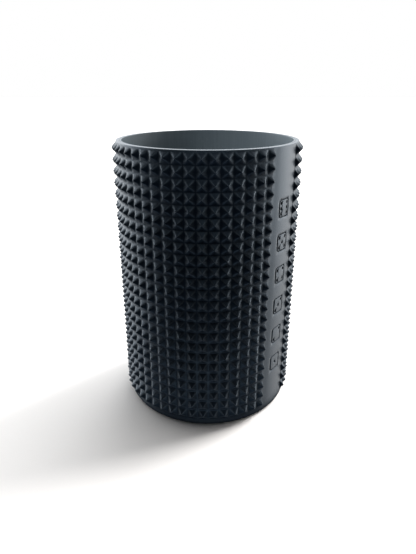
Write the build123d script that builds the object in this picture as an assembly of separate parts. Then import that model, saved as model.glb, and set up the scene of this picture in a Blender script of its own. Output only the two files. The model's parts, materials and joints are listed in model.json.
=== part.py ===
from build123d import *
import os
from math import cos, radians, sin

# A round, straight-sided dice cup that stands on its closed end. Six pieces are glued one inside
# another: an outer sleeve moulded with pyramid studs, a stiff tube, a board that closes the bottom, a
# pad on the board for the dice to fall on, a smooth lining that stands on the pad's edge, and a disc
# that covers the underside.
# The origin is the centre of the face it stands on, and +Z goes up out of the mouth.
# The front is -Y. An azimuth is in degrees from the front, towards +X.

# Overall sizes
cup_height = 112.0
wall_radius = 36.0

# Walls, from the outside in
sleeve_thickness = 0.9
core_thickness = 0.6
liner_thickness = 0.5
glue_line = 0.1

# Rim and bottom
lip_thickness = 0.8
rim_round = 0.3
liner_edge_round = 0.15
hem_thickness = 1.4
hem_width = 7.0
base_edge_round = 2.5
board_thickness = 2.0
pad_thickness = 1.5
cover_edge_round = 0.3

# Studs: square pyramids in rows and columns, with a plain strip where some columns are left out
stud_height = 1.8
stud_rows = 24
ring_columns = 52
strip_columns = 3
strip_azimuth = 52.4
base_band = 3.6
collar = 0.4
root_step = 0.1
stud_bond = 0.1

# Die faces engraved in the plain strip, from one pip at the bottom to six at the top
die_faces = 6
die_size = 7.2
die_corner = 1.6
die_line = 0.6
pip_radius = 0.65
pip_spacing = 2.0
engraving_depth = 0.3
marks_bottom = 16.0
marks_top = 96.0

# Radii of the nested walls
sleeve_inner = wall_radius - sleeve_thickness
core_outer = sleeve_inner - glue_line
core_inner = core_outer - core_thickness
liner_outer = core_inner - glue_line
liner_inner = liner_outer - liner_thickness
hem_inner = wall_radius - hem_width

# Heights of the stacked bottom and of the stud field
board_top = hem_thickness + board_thickness
pad_top = board_top + pad_thickness
field_bottom = base_band
field_top = cup_height - collar
row_pitch = (field_top - field_bottom) / stud_rows
column_angle = 360 / ring_columns
stud_columns = ring_columns - strip_columns
first_stud_edge = strip_azimuth + strip_columns * column_angle / 2
strip_angle = strip_columns * column_angle

# Radii of the stud field: the flat between two stud roots lies a little inside the roots
root_radius = wall_radius - root_step
tip_radius = wall_radius + stud_height
root_flat_radius = root_radius * cos(radians(column_angle / 2))
seat_radius = root_flat_radius - stud_bond
field_inner = (seat_radius + sleeve_inner) / 2

# The front is a quarter turn back from +X, where an arc starts
front_angle = -90

# How far a cutter reaches past the plain wall
cutter_reach = 1.0


def cup_point(azimuth, radius, height):
    """The point at an azimuth, a radius and a height."""
    turn = radians(azimuth)
    return Vector(radius * sin(turn), -radius * cos(turn), height)


def disc(radius, bottom, thickness):
    return Pos(0, 0, bottom) * Cylinder(radius, thickness, align=(Align.CENTER, Align.CENTER, Align.MIN))


def tube(outer, inner, bottom, top):
    height = top - bottom
    return disc(outer, bottom, height) - disc(inner, bottom, height)


def rounded_corner(profile, radius, height, rounding):
    """A flat profile with its corner at this radius and height rounded."""
    corner = profile.vertices().sort_by_distance((radius, height, 0))[0]
    return fillet(corner, rounding)


def facet(*corners):
    return Face(Wire.make_polygon(corners, close=True))


def sleeve_wall():
    """The plain sleeve: its wall, the lip over the stiff tube and the hem turned in underneath."""
    lip_bottom = cup_height - lip_thickness
    outline = Polyline(
        (hem_inner, 0),
        (wall_radius, 0),
        (wall_radius, cup_height),
        (core_inner, cup_height),
        (core_inner, lip_bottom),
        (sleeve_inner, lip_bottom),
        (sleeve_inner, hem_thickness),
        (hem_inner, hem_thickness),
        close=True,
    )
    profile = make_face(outline)
    profile = rounded_corner(profile, wall_radius, 0, base_edge_round)
    profile = rounded_corner(profile, wall_radius, cup_height, rim_round)
    return revolve(Plane.XZ * profile, Axis.Z)


def stud_seat():
    """The shallow space that the stud field fills, all round but for the plain strip."""
    height = field_top - field_bottom
    sweep = 360 - strip_angle
    reach = wall_radius + cutter_reach
    outer = Cylinder(reach, height, arc_size=sweep, align=(Align.NONE, Align.NONE, Align.MIN))
    ring = Pos(0, 0, field_bottom) * Rot(0, 0, front_angle + first_stud_edge) * outer
    return ring - disc(seat_radius, field_bottom, height)


def stud(left, bottom):
    """The four sloping faces of one pyramid."""
    right = left + column_angle
    top = bottom + row_pitch
    corners = [
        cup_point(left, root_radius, bottom),
        cup_point(right, root_radius, bottom),
        cup_point(right, root_radius, top),
        cup_point(left, root_radius, top),
    ]
    tip = cup_point(left + column_angle / 2, tip_radius, bottom + row_pitch / 2)
    return [facet(corners[side - 1], corners[side], tip) for side in range(4)]


def stud_field():
    """Every stud, on one thin curved backing that lies within the sleeve's wall."""
    faces = []
    for column in range(stud_columns):
        left = first_stud_edge + column * column_angle
        right = left + column_angle
        for row in range(stud_rows):
            faces += stud(left, field_bottom + row * row_pitch)
        for height in (field_bottom, field_top):
            faces.append(
                facet(
                    cup_point(left, root_radius, height),
                    cup_point(right, root_radius, height),
                    cup_point(right, field_inner, height),
                    cup_point(left, field_inner, height),
                )
            )
        faces.append(
            facet(
                cup_point(left, field_inner, field_bottom),
                cup_point(right, field_inner, field_bottom),
                cup_point(right, field_inner, field_top),
                cup_point(left, field_inner, field_top),
            )
        )
    for azimuth in (first_stud_edge, first_stud_edge + stud_columns * column_angle):
        heights = [field_bottom + row * row_pitch for row in range(stud_rows + 1)]
        edge = [cup_point(azimuth, root_radius, height) for height in heights]
        back = [cup_point(azimuth, field_inner, field_top), cup_point(azimuth, field_inner, field_bottom)]
        faces.append(facet(*edge, *back))
    return Solid(Shell(faces))


def pip_places(count):
    """Where the pips of one die face lie, in steps from its middle."""
    places = []
    if count % 2:
        places.append((0, 0))
    if count > 1:
        places += [(-1, -1), (1, 1)]
    if count > 3:
        places += [(-1, 1), (1, -1)]
    if count == 6:
        places += [(-1, 0), (1, 0)]
    return places


def engraving():
    """The cutter for the row of die faces, to one depth all over the curved strip."""
    frame_face = RectangleRounded(die_size, die_size, die_corner)
    frame_face -= RectangleRounded(die_size - 2 * die_line, die_size - 2 * die_line, die_corner - die_line)
    spacing = (marks_top - marks_bottom) / die_faces
    marks = Part()
    for index in range(die_faces):
        drawing = frame_face
        for across, up in pip_places(index + 1):
            drawing += Pos(across * pip_spacing, up * pip_spacing) * Circle(pip_radius)
        middle = cup_point(strip_azimuth, 0, marks_bottom + (index + 0.5) * spacing)
        outward = cup_point(strip_azimuth, 1, 0)
        face_plane = Plane(origin=middle, x_dir=cup_point(strip_azimuth + 90, 1, 0), z_dir=outward)
        marks += extrude(face_plane * drawing, wall_radius + cutter_reach)
    return marks - disc(wall_radius - engraving_depth, 0, cup_height)


def studded_sleeve():
    sleeve = sleeve_wall() - stud_seat()
    sleeve -= engraving()
    return sleeve + stud_field()


def liner_wall():
    outline = Polyline(
        (liner_outer, pad_top),
        (liner_outer, cup_height),
        (liner_inner, cup_height),
        (liner_inner, pad_top),
        close=True,
    )
    profile = rounded_corner(make_face(outline), liner_inner, cup_height, liner_edge_round)
    return revolve(Plane.XZ * profile, Axis.Z)


def base_cover():
    cover = disc(hem_inner - glue_line, 0, hem_thickness)
    lower_edge = cover.edges().sort_by(Axis.Z)[0]
    return fillet(lower_edge, cover_edge_round)


pieces = {
    "studded_sleeve": studded_sleeve(),
    "core_tube": tube(core_outer, core_inner, hem_thickness, cup_height - lip_thickness),
    "liner_wall": liner_wall(),
    "base_board": disc(core_inner - glue_line, hem_thickness, board_thickness),
    "floor_pad": disc(core_inner - glue_line, board_top, pad_thickness),
    "base_cover": base_cover(),
}

os.makedirs("parts", exist_ok=True)
for name, piece in pieces.items():
    export_step(piece, f"parts/{name}.step")
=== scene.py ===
import json
from math import atan, atan2, cos, degrees, hypot, pi, radians, sin, tan

import bmesh
import bpy
import numpy as np
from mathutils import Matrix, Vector
from mathutils.geometry import delaunay_2d_cdt


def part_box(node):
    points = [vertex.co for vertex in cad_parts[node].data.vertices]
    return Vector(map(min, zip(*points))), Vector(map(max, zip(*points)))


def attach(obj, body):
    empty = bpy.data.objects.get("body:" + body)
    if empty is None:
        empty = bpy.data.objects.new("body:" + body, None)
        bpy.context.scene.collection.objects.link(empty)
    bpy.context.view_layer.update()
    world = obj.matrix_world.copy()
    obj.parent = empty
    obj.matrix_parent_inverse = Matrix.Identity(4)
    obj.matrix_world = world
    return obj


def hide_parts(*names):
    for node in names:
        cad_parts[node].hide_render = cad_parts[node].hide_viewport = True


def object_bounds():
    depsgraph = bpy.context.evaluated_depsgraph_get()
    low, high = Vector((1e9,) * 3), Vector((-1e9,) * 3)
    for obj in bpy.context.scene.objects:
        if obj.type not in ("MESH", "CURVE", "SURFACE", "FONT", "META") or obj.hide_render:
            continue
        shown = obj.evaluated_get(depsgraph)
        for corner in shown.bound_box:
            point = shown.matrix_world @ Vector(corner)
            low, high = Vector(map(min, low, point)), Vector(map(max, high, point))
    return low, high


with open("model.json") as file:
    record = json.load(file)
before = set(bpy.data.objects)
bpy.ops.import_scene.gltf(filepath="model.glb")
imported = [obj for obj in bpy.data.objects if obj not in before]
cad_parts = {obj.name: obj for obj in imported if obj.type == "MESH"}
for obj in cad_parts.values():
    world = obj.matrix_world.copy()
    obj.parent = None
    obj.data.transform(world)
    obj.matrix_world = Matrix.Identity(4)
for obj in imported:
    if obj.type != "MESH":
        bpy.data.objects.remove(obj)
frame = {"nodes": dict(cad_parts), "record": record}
cad_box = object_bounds()

# The cup: lengths in millimetres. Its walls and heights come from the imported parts, and what the parts
# can't say, such as a rounding, is named here. An azimuth is in degrees from the front, -Y, towards +X.
MM = 0.001

tube_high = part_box("core_tube")[1]
liner_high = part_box("liner_wall")[1]
cover_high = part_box("base_cover")[1]
pad_low, pad_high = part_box("floor_pad")
mouth = next(mount for mount in frame["record"]["mounts"] if mount["name"] == "mouth")

glue_line = 0.1
sleeve_thickness = 0.9
cup_height = cad_box[1].z / MM
inside_radius = mouth["dims"]["r_mm"]
liner_radius = liner_high.x / MM
core_radius = tube_high.x / MM
lip_radius = liner_radius + glue_line
sleeve_inner = core_radius + glue_line
wall_radius = sleeve_inner + sleeve_thickness
lip_bottom = tube_high.z / MM
hem_top = cover_high.z / MM
hem_inner = cover_high.x / MM + glue_line
pad_bottom, pad_top = pad_low.z / MM, pad_high.z / MM

rim_round = 0.3
lip_round = 0.12
base_round = 2.5
liner_round = 0.15
liner_back_round = 0.08
cover_round = 0.3

# The studs, in a ring that leaves out a few columns for the plain strip
stud_rows = 24
ring_columns = 52
strip_columns = 3
strip_azimuth = 52.4
stud_height = 1.8
base_band = 3.6
collar = 0.4
root_step = 0.1

column_angle = 360 / ring_columns
half_column = radians(column_angle / 2)
stud_columns = ring_columns - strip_columns
field_bottom = base_band
field_top = cup_height - collar
row_pitch = (field_top - field_bottom) / stud_rows
root_flat_radius = (wall_radius - root_step) * cos(half_column)
stud_rise = wall_radius + stud_height - root_flat_radius

# A stud's shape. Sizes are shares of its half width, so that 0 is its middle and 1 is its edge.
stud_roundness = 3.0  # the power of its rounded square: 2 gives a cone, and a high power a pyramid
tip_blunting = 0.10
valley_rounding = 0.20
ring_sizes = (tip_blunting, 0.5, 1 - valley_rounding, 1 - valley_rounding / 2, 1)
side_places = 3
ring_places = 4 * side_places
corner_inset = 0.42  # from a ring's corner to the places beside it
most_inset = 0.6  # the most that this may be, as a share of the ring's size
wear_and_highlight_fading = 0.35  # the power by which wear and the painted highlight fade down a ridge

# The plain strip. Its edges are drawn out towards the tips beside them.
strip_half_angle = strip_columns * column_angle / 2
first_stud_edge = strip_azimuth + strip_half_angle
last_stud_edge = strip_azimuth - strip_half_angle + 360
strip_steps = 13
strip_side_width = 0.3  # how wide the half stud beside the strip is left, as a share
strip_blend_angle = 2.5  # how far into the strip its surface is drawn out, in degrees

# The row of die faces engraved in the strip
die_faces = 6
die_size = 7.2
die_corner = 1.6
die_line = 0.6
pip_radius = 0.65
pip_spacing = 2.0
engraving_depth = 0.3
engraving_slope = 0.08
marks_bottom = 16.0
marks_top = 96.0
mark_spacing = (marks_top - marks_bottom) / die_faces


# ---------------------------------------------------------------- mesh helpers

weld_distance = 0.002  # points of one mesh that are closer than this, in millimetres, become one
face_area_weight = 90  # above 50, so that large faces keep flat normals


def on_cup(azimuth, radius, height):
    """A point in metres, by its azimuth from the front in degrees, its radius and its height."""
    turn = radians(azimuth)
    return (radius * sin(turn) * MM, -radius * cos(turn) * MM, height * MM)


def arc(centre, radius, start, end, steps):
    """Points (radius, height) along an arc of a profile, with its angles in degrees."""
    points = []
    for step in range(steps + 1):
        angle = radians(start + (end - start) * step / steps)
        points.append((centre[0] + radius * cos(angle), centre[1] + radius * sin(angle)))
    return points


def make_object(name, verts, faces, marks=None):
    """A closed mesh of merged points with its normals out. The marks are named values, one to a point."""
    mesh = bpy.data.meshes.new(name)
    mesh.from_pydata(verts, [], faces)
    for mark, values in (marks or {}).items():
        mesh.attributes.new(mark, "FLOAT", "POINT").data.foreach_set("value", values)
    edit = bmesh.new()
    edit.from_mesh(mesh)
    bmesh.ops.remove_doubles(edit, verts=edit.verts, dist=weld_distance * MM)
    bmesh.ops.recalc_face_normals(edit, faces=edit.faces)
    edit.to_mesh(mesh)
    edit.free()
    mesh.shade_smooth()
    piece = bpy.data.objects.new(name, mesh)
    bpy.context.scene.collection.objects.link(piece)
    weighted = piece.modifiers.new("face_weighted_normals", "WEIGHTED_NORMAL")
    weighted.mode = "FACE_AREA"
    weighted.weight = face_area_weight
    return piece


def lathe(name, profile, segments=224):
    """A solid of revolution about the cup's axis. A profile point at radius 0 closes it with a fan."""
    verts, faces, rings = [], [], []
    for radius, height in profile:
        if radius == 0:
            rings.append([len(verts)] * segments)
            verts.append((0, 0, height * MM))
        else:
            rings.append(range(len(verts), len(verts) + segments))
            verts += [on_cup(360 * step / segments, radius, height) for step in range(segments)]
    for here, there in zip(rings, rings[1:] + rings[:1]):
        for step in range(segments):
            after = (step + 1) % segments
            corners = dict.fromkeys((here[step], here[after], there[after], there[step]))
            if len(corners) > 2:
                faces.append(tuple(corners))
    return make_object(name, verts, faces)


# ---------------------------------------------------------------- the studded sleeve


def stud_profile(across, up):
    """The height of a stud, 0 to 1, at a place -1 to 1 each way: a square pyramid with rounded
    ridges, a blunted tip and rounded valleys."""
    out = min((abs(across) ** stud_roundness + abs(up) ** stud_roundness) ** (1 / stud_roundness), 1)
    if out < tip_blunting:
        return 1 - (out * out / tip_blunting + tip_blunting) / 2
    if out > 1 - valley_rounding:
        return ((1 - out) ** 2 / valley_rounding + valley_rounding) / 2
    return 1 - out


def stud_point(middle, centre_height, across, up):
    """A point of the stud whose middle is at this azimuth and height. Cells meet in radial planes."""
    depth = root_flat_radius + stud_rise * stud_profile(across, up)
    sideways = across * tan(half_column)
    azimuth = middle + degrees(atan(sideways))
    return on_cup(azimuth, depth * hypot(1, sideways), centre_height + up * row_pitch / 2)


def stud_ring(size):
    """The places of one square ring round a stud: each corner, and a place each side of it."""
    inset = min(corner_inset, most_inset * size)
    side = [(-size, size), (-size + inset, size), (size - inset, size)]
    places = []
    for _ in range(4):
        places += side
        side = [(up, -across) for across, up in side]
    return places


def ridge_wear_and_highlight(size, place):
    """How much wear and painted highlight a place of a ring gets. Only its corners, which lie on the stud's
    ridges, get any.
    """
    return max(1 - size, 0) ** wear_and_highlight_fading if place % side_places == 0 else 0.0


def column_middle(column):
    """The azimuth of the middle of a column of studs."""
    return first_stud_edge + (column + 0.5) * column_angle


def add_studs(verts, faces, wear_and_highlight):
    """Every stud: its tip, and rings of places that grow from there to its base."""
    rings = [stud_ring(size) for size in ring_sizes]
    around = [(place, (place + 1) % ring_places) for place in range(ring_places)]
    for column in range(stud_columns):
        middle = column_middle(column)
        for row in range(stud_rows):
            height = field_bottom + (row + 0.5) * row_pitch
            tip = len(verts)
            verts.append(stud_point(middle, height, 0, 0))
            # A tip is worn most and gets the most painted highlight
            wear_and_highlight.append(1.0)
            for size, ring in zip(ring_sizes, rings):
                verts += [stud_point(middle, height, across, up) for across, up in ring]
                wear_and_highlight += [ridge_wear_and_highlight(size, place) for place in range(ring_places)]
            starts = [tip + 1 + ring_places * ring for ring in range(len(rings))]
            faces += [(tip, starts[0] + place, starts[0] + after) for place, after in around]
            for inner, outer in zip(starts, starts[1:]):
                for place, after in around:
                    faces.append((inner + place, outer + place, outer + after, inner + after))


def stud_edge_places():
    """The places -1 to 1 of the points along one side of a stud's base, but for its last corner."""
    return (-1, -1 + corner_inset, 1 - corner_inset)


def field_edge_azimuths():
    """The azimuths of the studs' own points along the top or bottom edge of their field."""
    azimuths = []
    for column in range(stud_columns):
        for place in stud_edge_places():
            azimuths.append(column_middle(column) + degrees(atan(place * tan(half_column))))
    return azimuths + [last_stud_edge]


def field_edge_heights():
    """The heights of the studs' own points along an upright edge of their field."""
    heights = []
    for row in range(stud_rows):
        for place in stud_edge_places():
            heights.append(field_bottom + (row + (1 + place) / 2) * row_pitch)
    return heights + [field_top]


def strip_edge_azimuths():
    """The azimuths of the points along the strip's top or bottom edge, on from the last stud's."""
    return [last_stud_edge + 2 * strip_half_angle * step / strip_steps for step in range(strip_steps + 1)]


def pip_places(count):
    """Where the pips of one die face lie, in steps from its middle."""
    places = [(0, 0)] if count % 2 else []
    if count > 1:
        places += [(-1, -1), (1, 1)]
    if count > 3:
        places += [(-1, 1), (1, -1)]
    if count == 6:
        places += [(-1, 0), (1, 0)]
    return places


def rounded_square(half, corner, steps=7):
    """The outline of a square with rounded corners, about the origin."""
    straight = half - corner
    points = []
    for turn, (right, up) in enumerate(((1, 1), (-1, 1), (-1, -1), (1, -1))):
        start = 90 * turn
        points += arc((straight * right, straight * up), corner, start, start + 90, steps)
    return points


def circle(radius, steps=20):
    turns = [2 * pi * step / steps for step in range(steps)]
    return [(radius * cos(turn), radius * sin(turn)) for turn in turns]


def mark_height(index):
    """The height of the middle of a die face."""
    return marks_bottom + (index + 0.5) * mark_spacing


def mark_outlines():
    """Every closed outline of the engraving, in millimetres across and up the strip."""
    half = die_size / 2
    insets = (0, engraving_slope, die_line - engraving_slope, die_line)
    for index in range(die_faces):
        height = mark_height(index)
        for inset in insets:
            yield [(x, y + height) for x, y in rounded_square(half - inset, die_corner - inset)]
        for across, up in pip_places(index + 1):
            for radius in (pip_radius, pip_radius - engraving_slope):
                middle = (across * pip_spacing, up * pip_spacing + height)
                yield [(x + middle[0], y + middle[1]) for x, y in circle(radius)]


def engraved_depth(x, y):
    """How deep the engraving is at a place on the strip, in millimetres."""
    index = min(max(int((y - marks_bottom) / mark_spacing), 0), die_faces - 1)
    y -= mark_height(index)
    straight = die_size / 2 - die_corner
    over_x, over_y = max(abs(x) - straight, 0), max(abs(y) - straight, 0)
    beside = max(abs(x), abs(y)) - die_size / 2
    outside = hypot(over_x, over_y) - die_corner if over_x and over_y else beside
    distance = abs(outside + die_line / 2) - die_line / 2
    for across, up in pip_places(index + 1):
        distance = min(distance, hypot(x - across * pip_spacing, y - up * pip_spacing) - pip_radius)
    return engraving_depth * min(max(-distance / engraving_slope, 0), 1)


def add_strip(verts, faces, wear_and_highlight, azimuths, heights):
    """The plain strip, triangulated flat between its edge points and the engraving, then bent round."""
    points, edges = [], []

    def add_line(line, closed=False):
        start = len(points)
        points.extend(line)
        edges.extend((start + step, start + step + 1) for step in range(len(line) - 1))
        if closed:
            edges.append((start + len(line) - 1, start))

    across = [radians(azimuth - strip_azimuth) * wall_radius for azimuth in azimuths]
    rows = [field_bottom + row * row_pitch for row in range(stud_rows + 1)]
    for x in (across[0], across[-1]):
        add_line([(x, y) for y in heights])
    for x in across[1:-1]:
        add_line([(x, heights[0]), (x, heights[-1])])
    for y in rows:
        add_line([(x, y) for x in (across if y in (rows[0], rows[-1]) else (across[0], across[-1]))])
    for outline in mark_outlines():
        add_line(outline, closed=True)

    convex_hull, tolerance = 0, 1e-5
    flat = delaunay_2d_cdt([Vector(point) for point in points], edges, [], convex_hull, tolerance)
    flat_points, flat_faces = flat[0], flat[2]
    start = len(verts)
    for x, y in flat_points:
        depth = engraved_depth(x, y)
        verts.append(on_cup(strip_azimuth + degrees(x / wall_radius), wall_radius - depth, y))
        # Below 0 in the engraving, which the skin paints with shade
        wear_and_highlight.append(-depth / engraving_depth)
    faces += [tuple(start + corner for corner in face) for face in flat_faces]


def sleeve_profile():
    """The sleeve's section, from the studs' top edge over the rim, down inside and out to the foot."""
    points = [(wall_radius, field_top)]
    points += arc((wall_radius - rim_round, cup_height - rim_round), rim_round, 0, 90, steps=5)
    points += arc((lip_radius + lip_round, cup_height - lip_round), lip_round, 90, 180, steps=3)
    points += [(lip_radius, lip_bottom), (sleeve_inner, lip_bottom), (sleeve_inner, hem_top)]
    points += [(hem_inner, hem_top), (hem_inner, 0)]
    points += arc((wall_radius - base_round, base_round), base_round, 270, 360, steps=10)
    return points + [(wall_radius, field_bottom)]


def add_plain_wall(verts, faces, wear_and_highlight, azimuths):
    """The plain surfaces of revolution: collar, rim, inside, hem and base band."""
    profile = sleeve_profile()
    start, count = len(verts), len(azimuths)
    for radius, height in profile:
        verts += [on_cup(azimuth, radius, height) for azimuth in azimuths]
        wear_and_highlight += [0.0] * count
    for ring in range(len(profile) - 1):
        low, high = start + ring * count, start + (ring + 1) * count
        for step in range(count):
            after = (step + 1) % count
            faces.append((low + step, low + after, high + after, high + step))


def on_valley(azimuth, height):
    """The studs' own point on the edge of their field, which lies on the flat between two roots."""
    valley_radius = root_flat_radius + stud_rise * stud_profile(1, 1)
    turn = (azimuth - first_stud_edge) % column_angle - column_angle / 2
    return on_cup(azimuth, valley_radius / cos(radians(turn)), height)


def add_ledge(verts, faces, wear_and_highlight, line):
    """The step from the plain wall in to the stud roots, along a line of azimuths and heights."""
    start, count = len(verts), len(line)
    verts += [on_cup(azimuth, wall_radius, height) for azimuth, height in line]
    verts += [on_valley(azimuth, height) for azimuth, height in line]
    wear_and_highlight += [0.0] * (2 * count)
    for outer in range(start, start + count - 1):
        inner = outer + count
        faces.append((outer, outer + 1, inner + 1, inner))


def steep_beside_strip(point):
    """Draws the strip's two edges towards the tips beside them, so that those studs fall steeply to it."""
    azimuth = degrees(atan2(point[0], -point[1]))
    from_strip = (azimuth - strip_azimuth + 180) % 360 - 180
    beyond = abs(from_strip) - strip_half_angle
    half_angle = column_angle / 2
    shift = (1 - strip_side_width) * half_angle
    if 0 <= beyond < half_angle:
        turn = shift * (1 - beyond / half_angle)
    elif -strip_blend_angle < beyond < 0:
        turn = shift * (1 + beyond / strip_blend_angle)
    else:
        return point
    radius = hypot(point[0], point[1]) / MM
    return on_cup(azimuth + (turn if from_strip > 0 else -turn), radius, point[2] / MM)


def studded_sleeve():
    """The whole sleeve as one closed mesh. A point's mark is above 0 on the ridges, where hands rub it and
    the skin also paints a highlight, and below 0 in the engraving, which the skin paints with shade."""
    verts, faces, wear_and_highlight = [], [], []
    add_studs(verts, faces, wear_and_highlight)
    stud_points = len(verts)

    field_azimuths, strip_azimuths = field_edge_azimuths(), strip_edge_azimuths()
    heights = field_edge_heights()
    add_plain_wall(verts, faces, wear_and_highlight, field_azimuths + strip_azimuths[1:-1])
    for height in (field_bottom, field_top):
        add_ledge(verts, faces, wear_and_highlight, [(azimuth, height) for azimuth in field_azimuths])
    for azimuth in (field_azimuths[0], field_azimuths[-1]):
        add_ledge(verts, faces, wear_and_highlight, [(azimuth, height) for height in heights])
    add_strip(verts, faces, wear_and_highlight, [azimuth - 360 for azimuth in strip_azimuths], heights)

    # Ridges get wear and a painted highlight in the skin, and the engraving gets painted shade
    marks = {
        "wear_and_highlight": [max(value, 0) for value in wear_and_highlight],
        "recess": [max(-value, 0) for value in wear_and_highlight],
        "plain": [0.0] * stud_points + [1.0] * (len(verts) - stud_points),
    }
    verts = [steep_beside_strip(point) for point in verts]
    return make_object("sleeve_studded", verts, faces, marks)


# ---------------------------------------------------------------- materials


class Material:
    """A node material with a Principled shader, built by short calls."""

    def __init__(self, name):
        self.material = bpy.data.materials.new(name)
        self.material.use_nodes = True
        self.tree = self.material.node_tree
        self.shader = next(node for node in self.tree.nodes if node.type == "BSDF_PRINCIPLED")
        self.place = self.node("ShaderNodeTexCoord").outputs["Object"]

    def node(self, kind, inputs=None, **settings):
        made = self.tree.nodes.new(kind)
        for key, value in settings.items():
            setattr(made, key, value)
        for key, value in (inputs or {}).items():
            self.set(made.inputs[key], value)
        return made

    def set(self, socket, value):
        if isinstance(value, bpy.types.NodeSocket):
            self.tree.links.new(value, socket)
        else:
            socket.default_value = value

    def noise(self, size, detail=3.0, roughness=0.55, place=None):
        """Noise whose grains are about this many millimetres across."""
        inputs = {"Vector": place or self.place, "Scale": 1 / (size * MM)}
        inputs |= {"Detail": detail, "Roughness": roughness}
        return self.node("ShaderNodeTexNoise", inputs).outputs["Fac"]

    def cells(self, size):
        """The distance to the nearest edge between cells about this many millimetres across."""
        inputs = {"Vector": self.place, "Scale": 1 / (size * MM)}
        return self.node("ShaderNodeTexVoronoi", inputs, feature="DISTANCE_TO_EDGE").outputs["Distance"]

    def mark(self, name):
        """A mesh's own named value at a point."""
        return self.node("ShaderNodeAttribute", attribute_name=name).outputs["Fac"]

    def ramp(self, value, low, high, to_low=0.0, to_high=1.0):
        inputs = {"Value": value, "From Min": low, "From Max": high, "To Min": to_low, "To Max": to_high}
        return self.node("ShaderNodeMapRange", inputs, interpolation_type="SMOOTHSTEP").outputs["Result"]

    def math(self, operation, first, second=0.0):
        return self.node("ShaderNodeMath", {0: first, 1: second}, operation=operation).outputs[0]

    def add_share(self, value, share, of):
        """A value with a share of another added to it."""
        return self.math("ADD", value, self.math("MULTIPLY", of, share))

    def mix(self, factor, first, second):
        made = self.node("ShaderNodeMix", data_type="RGBA")
        self.set(made.inputs["Factor"], factor)
        for name, colour in (("A", first), ("B", second)):
            socket = next(s for s in made.inputs if s.name == name and s.type == "RGBA")
            self.set(socket, colour)
        return next(s for s in made.outputs if s.type == "RGBA")

    def bump(self, height, distance, strength=1.0, normal=None):
        """A bump of this depth in millimetres, on top of another bump's normal if it is given."""
        inputs = {"Height": height, "Distance": distance * MM, "Strength": strength}
        made = self.node("ShaderNodeBump", inputs)
        if normal is not None:
            self.set(made.inputs["Normal"], normal)
        return made.outputs["Normal"]

    def finish(self, colour, roughness, normal, specular=0.5, tint=(1, 1, 1, 1)):
        self.set(self.shader.inputs["Base Color"], colour)
        self.set(self.shader.inputs["Roughness"], roughness)
        self.set(self.shader.inputs["Normal"], normal)
        self.shader.inputs["Specular IOR Level"].default_value = specular
        self.shader.inputs["Specular Tint"].default_value = tint
        return self.material


def shade(colour, factor):
    """A colour made darker or lighter."""
    return [factor * part for part in colour[:3]] + [1]


def skin_material(name, dark, pale_tone, roughness=0.5):
    """Matte moulded skin with a fine leather-like grain, and paler, smoother ridges where hands rub it; the
    paleness is partly a painted highlight.
    """
    m = Material(name)
    patches = m.ramp(m.noise(14, detail=4), 0.35, 0.7)
    speckle = m.noise(0.35, detail=2)
    creases = m.ramp(m.cells(0.7), 0.0, 0.16)
    # Wear and painted highlight: the ridges and tips are made paler and smoother
    rubbed_and_highlit = m.math("MULTIPLY", m.mark("wear_and_highlight"), m.ramp(m.noise(3), 0.3, 0.7, 0.6, 1.0))
    plain, recess = m.mark("plain"), m.mark("recess")

    base = m.mix(patches, shade(dark, 0.8), shade(dark, 1.25))
    base = m.mix(m.ramp(speckle, 0.3, 0.8, 0, 0.03), base, pale_tone)
    # Wear and painted highlight: paler colour on the ridges and tips
    base = m.mix(m.math("MULTIPLY", rubbed_and_highlit, 0.9), base, pale_tone)
    base = m.mix(m.math("MULTIPLY", plain, 0.2), base, pale_tone)
    # Painted shade: the engraving is darkened towards a third of the skin's dark colour
    base = m.mix(m.math("MULTIPLY", recess, 0.85), base, shade(dark, 0.3))

    rough = m.ramp(speckle, 0.2, 0.8, roughness - 0.06, roughness + 0.08)
    rough = m.add_share(rough, -0.1, of=rubbed_and_highlit)
    rough = m.add_share(rough, 0.45, of=recess)
    rough = m.add_share(rough, -0.12, of=plain)

    normal = m.bump(creases, 0.02, 0.5)
    normal = m.bump(speckle, 0.02, 0.5, normal)
    return m.finish(base, rough, normal, specular=0.6, tint=(0.60, 0.80, 1.0, 1))


def lining_material():
    """Smooth satin lining with faint upright drawing marks and a few light scuffs from the dice."""
    m = Material("lining_satin")
    stretched = m.node("ShaderNodeMapping", {"Vector": m.place, "Scale": (1, 1, 0.04)}).outputs["Vector"]
    streaks = m.noise(0.8, detail=4, place=stretched)
    scuffs = m.ramp(m.noise(2.2, detail=6, roughness=0.7), 0.58, 0.66)
    base = m.mix(m.ramp(streaks, 0.3, 0.7), (0.124, 0.156, 0.178, 1), (0.140, 0.174, 0.196, 1))
    base = m.mix(m.math("MULTIPLY", scuffs, 0.25), base, (0.20, 0.235, 0.255, 1))
    rough = m.ramp(streaks, 0.2, 0.8, 0.42, 0.52)
    normal = m.bump(streaks, 0.006, 0.3)
    normal = m.bump(m.noise(0.25), 0.006, 0.4, normal)
    return m.finish(base, rough, normal)


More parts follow.
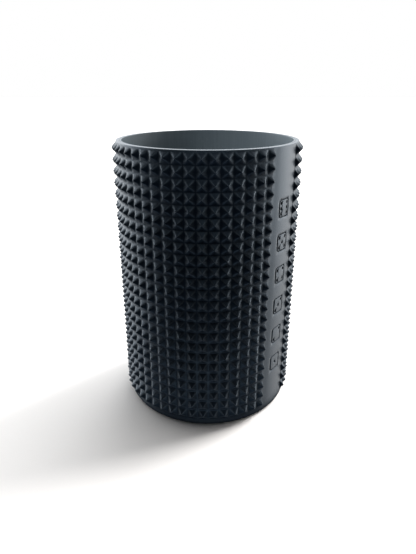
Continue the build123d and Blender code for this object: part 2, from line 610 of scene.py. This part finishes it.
def felt_material():
    """Dense dark felt: fibres at two sizes, with a sheen and pale lint."""
    m = Material("felt_dense")
    drift = m.node("ShaderNodeMapping", {"Vector": m.place, "Scale": (1, 0.35, 1), "Rotation": (0, 0, 0.7)})
    fibres = m.noise(0.3, detail=6, roughness=0.75, place=drift.outputs["Vector"])
    tufts = m.noise(2.0, detail=3)
    base = m.mix(fibres, (0.018, 0.021, 0.023, 1), (0.06, 0.066, 0.068, 1))
    base = m.mix(m.ramp(tufts, 0.6, 0.8, 0, 0.4), base, (0.09, 0.095, 0.095, 1))
    normal = m.bump(fibres, 0.12, 0.8)
    normal = m.bump(tufts, 0.1, 0.4, normal)
    m.shader.inputs["Sheen Weight"].default_value = 0.3
    m.shader.inputs["Sheen Roughness"].default_value = 0.5
    return m.finish(base, m.ramp(fibres, 0.2, 0.8, 0.85, 0.98), normal, specular=0.2)


def fibreboard_material():
    """Pressed brown fibreboard with long fibres in it."""
    m = Material("fibreboard_pressed")
    drift = m.node("ShaderNodeMapping", {"Vector": m.place, "Scale": (0.15, 1, 1)}).outputs["Vector"]
    fibres = m.noise(0.5, detail=6, roughness=0.7, place=drift)
    base = m.mix(m.ramp(fibres, 0.3, 0.7), (0.16, 0.11, 0.07, 1), (0.34, 0.26, 0.18, 1))
    return m.finish(base, m.ramp(fibres, 0.2, 0.8, 0.7, 0.85), m.bump(fibres, 0.05, 0.6), specular=0.3)


def core_material():
    """Plain dark rigid plastic with a light moulding texture."""
    m = Material("core_plastic")
    grain = m.noise(0.4, detail=3)
    base = m.mix(m.ramp(grain, 0.3, 0.7), (0.045, 0.046, 0.048, 1), (0.06, 0.062, 0.064, 1))
    return m.finish(base, m.ramp(grain, 0.2, 0.8, 0.5, 0.6), m.bump(grain, 0.01, 0.5))


def floor_material():
    """White paper with a faint grain and no gloss."""
    m = Material("floor_paper")
    grain = m.noise(1.5, detail=4)
    base = m.mix(grain, (0.94, 0.91, 0.885, 1), (0.96, 0.93, 0.905, 1))
    return m.finish(base, 0.9, m.bump(grain, 0.02, 0.2), specular=0.0)


# ---------------------------------------------------------------- pieces


def lining():
    """The lining's wall: up its glued face, over its rounded edge at the mouth and down inside."""
    back_centre = (liner_radius - liner_back_round, cup_height - liner_back_round)
    front_centre = (inside_radius + liner_round, cup_height - liner_round)
    profile = [(liner_radius, pad_top)]
    profile += arc(back_centre, liner_back_round, 0, 90, steps=3)
    profile += arc(front_centre, liner_round, 90, 180, steps=4)
    steps = 24
    fall = cup_height - liner_round - pad_top
    profile += [(inside_radius, pad_top + fall * (steps - step) / steps) for step in range(1, steps + 1)]
    return lathe("lining_smooth", profile)


def felt_pad():
    """A felt disc whose top is a little uneven. It lies under the lining's edge, where it is pressed flat."""
    segments, rings = 160, 40
    deepest, pressed_width = 0.05, 0.5
    wave_count = 10
    rng = np.random.default_rng(7)
    phases = rng.uniform(0, 2 * pi, (wave_count, 3))[:, 0]
    waves = rng.uniform(0.15, 0.9, (wave_count, 2)) * rng.choice([-1, 1], (wave_count, 2))

    def droop(x, y):
        total = sum(sin(wave[0] * x + wave[1] * y + phase) for wave, phase in zip(waves, phases))
        return deepest * (0.5 + total / (2 * wave_count))

    verts, faces = [(0, 0, pad_bottom * MM)], []
    profile = [(liner_radius, pad_bottom), (liner_radius, pad_top)]
    profile += [(liner_radius * (rings - step) / rings, pad_top) for step in range(1, rings)]
    starts = []
    for radius, height in profile:
        starts.append(len(verts))
        for step in range(segments):
            azimuth = 360 * step / segments
            x, y = radius * sin(radians(azimuth)), radius * cos(radians(azimuth))
            free = radius < inside_radius - pressed_width
            verts.append(on_cup(azimuth, radius, height - (droop(x, y) if free else 0)))
    centre = len(verts)
    verts.append((0, 0, (pad_top - droop(0, 0)) * MM))
    for step in range(segments):
        after = (step + 1) % segments
        faces.append((0, starts[0] + after, starts[0] + step))
        for low, high in zip(starts, starts[1:]):
            faces.append((low + step, low + after, high + after, high + step))
        faces.append((starts[-1] + step, starts[-1] + after, centre))
    return make_object("pad_felt", verts, faces)


def underside_cover():
    """The disc inside the hem, with its lower edge rounded."""
    radius = hem_inner - glue_line
    steps = 6
    profile = [(radius * step / steps, 0) for step in range(steps)]
    profile += arc((radius - cover_round, cover_round), cover_round, 270, 360, steps=5)
    profile += [(radius, hem_top), (0, hem_top)]
    return lathe("underside_disc", profile)


def dress(piece, material, node):
    """Gives a piece its material and puts it in the place of a CAD node."""
    piece.data.materials.append(material)
    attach(piece, "root")
    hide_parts(node)
    return piece


def keep_cad(node, material):
    """A CAD node whose own shape is right gets its material."""
    slots = frame["nodes"][node].data.materials
    slots.clear()
    slots.append(material)


skin = skin_material("skin_moulded", (0.0075, 0.0130, 0.0225), (0.125, 0.148, 0.170, 1), roughness=0.45)
under_skin = skin_material("skin_underside", (0.018, 0.021, 0.024), (0.06, 0.064, 0.068, 1), roughness=0.6)

dress(studded_sleeve(), skin, "studded_sleeve")
inside = dress(lining(), lining_material(), "liner_wall")
pad = dress(felt_pad(), felt_material(), "floor_pad")
dress(underside_cover(), under_skin, "base_cover")
keep_cad("core_tube", core_material())
keep_cad("base_board", fibreboard_material())


# ---------------------------------------------------------------- floor, light and camera


def flat_piece(name, corners, material):
    """A flat piece of the studio, with these corners."""
    mesh = bpy.data.meshes.new(name)
    mesh.from_pydata(corners, [], [tuple(range(len(corners)))])
    mesh.materials.append(material)
    piece = bpy.data.objects.new(name, mesh)
    bpy.context.scene.collection.objects.link(piece)
    return piece


def studio_floor():
    """A wide white floor, which takes the cup's shadow but throws neither light nor shade back on it."""
    reach = 4.0  # in metres
    corners = [(-reach, -reach, 0), (reach, -reach, 0), (reach, reach, 0), (-reach, reach, 0)]
    floor = flat_piece("studio_floor", corners, floor_material())
    floor.visible_diffuse = floor.visible_glossy = floor.visible_shadow = False
    return floor


def floor_flag():
    """A dark disc that keeps the light from below off the foot of the cup, as the floor there would."""
    steps, radius, height = 64, 39, -0.5
    rim = [on_cup(360 * step / steps, radius, height) for step in range(steps)]
    m = Material("flag_black")
    black = m.finish((0.02, 0.02, 0.02, 1), 0.9, m.bump(m.noise(1), 0.01), specular=0.0)
    flag = flat_piece("floor_flag", rim, black)
    flag.visible_camera = False


def towards(azimuth, elevation):
    """The unit vector towards an azimuth, from the front towards +X, and an elevation, in degrees."""
    turn, rise = radians(azimuth), radians(elevation)
    return Vector((sin(turn) * cos(rise), -cos(turn) * cos(rise), sin(rise)))


def studio_world(lights):
    """A dome of soft lights round the cup. The camera sees plain white behind it."""
    world = bpy.data.worlds.new("studio_dome")
    bpy.context.scene.world = world
    world.use_nodes = True
    tree = world.node_tree
    tree.nodes.clear()

    def node(kind, inputs=(), **settings):
        made = tree.nodes.new(kind)
        for key, value in settings.items():
            setattr(made, key, value)
        for socket, value in zip(made.inputs, inputs):
            if isinstance(value, bpy.types.NodeSocket):
                tree.links.new(value, socket)
            elif value is not None:
                socket.default_value = value
        return made.outputs

    direction = node("ShaderNodeTexCoord")["Generated"]
    total = (0, 0, 0)
    for azimuth, elevation, sharpness, colour in lights:
        aim = towards(azimuth, elevation)
        middle = node("ShaderNodeVectorMath", (direction, aim), operation="DOT_PRODUCT")["Value"]
        fall = node("ShaderNodeMath", (middle, sharpness, -sharpness), operation="MULTIPLY_ADD")[0]
        glow = node("ShaderNodeMath", (fall,), operation="EXPONENT")[0]
        shine = node("ShaderNodeVectorMath", (colour, None, None, glow), operation="SCALE")["Vector"]
        total = node("ShaderNodeVectorMath", (total, shine), operation="ADD")["Vector"]
    dome = node("ShaderNodeBackground", (total, 1.0))[0]
    seen = node("ShaderNodeBackground", ((1, 1, 1, 1), 1.0))[0]
    camera_ray = node("ShaderNodeLightPath")["Is Camera Ray"]
    node("ShaderNodeOutputWorld", (node("ShaderNodeMixShader", (camera_ray, dome, seen))[0],))


def light_only(lamp, lit):
    """Keeps a lamp's light to these objects."""
    receivers = bpy.data.collections.new(lamp.name + "_lit")
    for thing in lit:
        receivers.objects.link(thing)
    lamp.light_linking.receiver_collection = receivers


def add_sun(name, azimuth, elevation, strength, softness, lit):
    """A distant soft light, which lights only the objects in lit."""
    light = bpy.data.lights.new(name, "SUN")
    light.energy = strength
    light.angle = radians(softness)
    lamp = bpy.data.objects.new(name, light)
    lamp.rotation_mode = "QUATERNION"
    lamp.rotation_quaternion = towards(azimuth, elevation).to_track_quat("Z", "Y")
    lamp.location = towards(azimuth, elevation)
    bpy.context.scene.collection.objects.link(lamp)
    light_only(lamp, lit)


def add_strip_light(name, place, target, energy, lit):
    """A small wide lamp close to the front of the cup, whose light fades with distance from its target."""
    width, depth = 70, 12
    light = bpy.data.lights.new(name, "AREA")
    light.shape = "RECTANGLE"
    light.size = width * MM
    light.size_y = depth * MM
    light.energy = energy
    light.color = (0.86, 0.94, 1.0)
    lamp = bpy.data.objects.new(name, light)
    lamp.location = on_cup(*place)
    aim = Vector(on_cup(*target)) - lamp.location
    lamp.rotation_mode = "QUATERNION"
    lamp.rotation_quaternion = aim.to_track_quat("-Z", "Y")
    lamp.visible_camera = False
    bpy.context.scene.collection.objects.link(lamp)
    light_only(lamp, lit)


def add_camera():
    """A camera in front of the cup and a little above its rim, looking down at it."""
    distance, height, tilt = 194.1, 132.8, 22.51
    camera = bpy.data.cameras.new("camera")
    camera.sensor_width = 36
    camera.lens = 30.68
    camera.shift_x = 0.001
    camera.clip_start = 0.01
    holder = bpy.data.objects.new("camera", camera)
    holder.location = on_cup(0, distance, height)
    holder.rotation_euler = (radians(90 - tilt), 0, 0)
    bpy.context.scene.collection.objects.link(holder)
    bpy.context.scene.camera = holder


# Soft lights of the dome: azimuth and elevation in degrees, sharpness, and colour with strength
dome_lights = (
    (-124, 9, 9, (3.50, 3.55, 3.60)),
    (-120, -34, 9, (1.20, 1.22, 1.25)),
    (109, 5, 11, (4.60, 4.50, 4.40)),
    (113, -36, 11, (1.00, 0.98, 0.96)),
    (-30, -72, 6, (0.06, 0.12, 0.20)),
    (180, 32, 4, (2.40, 2.50, 2.58)),
)

cup = [piece for piece in bpy.context.scene.objects if piece.type == "MESH"]
floor = studio_floor()
floor_flag()
studio_world(dome_lights)
add_sun("key", azimuth=148, elevation=46, strength=1.6, softness=30, lit=cup)
add_sun("inside_fill", azimuth=-55, elevation=48, strength=2.0, softness=30, lit=[inside])
add_sun("floor_key", azimuth=122, elevation=33, strength=4.9, softness=24, lit=[floor])
add_sun("floor_fill", azimuth=158, elevation=55, strength=1.35, softness=40, lit=[floor])
add_strip_light("rim_light", (0, 68, 130), (0, wall_radius, 106), 0.0028, cup)
add_strip_light("foot_light", (0, 78, -6), (0, wall_radius, 4), 0.0045, cup)
add_camera()
bpy.context.scene.view_settings.view_transform = "Standard"
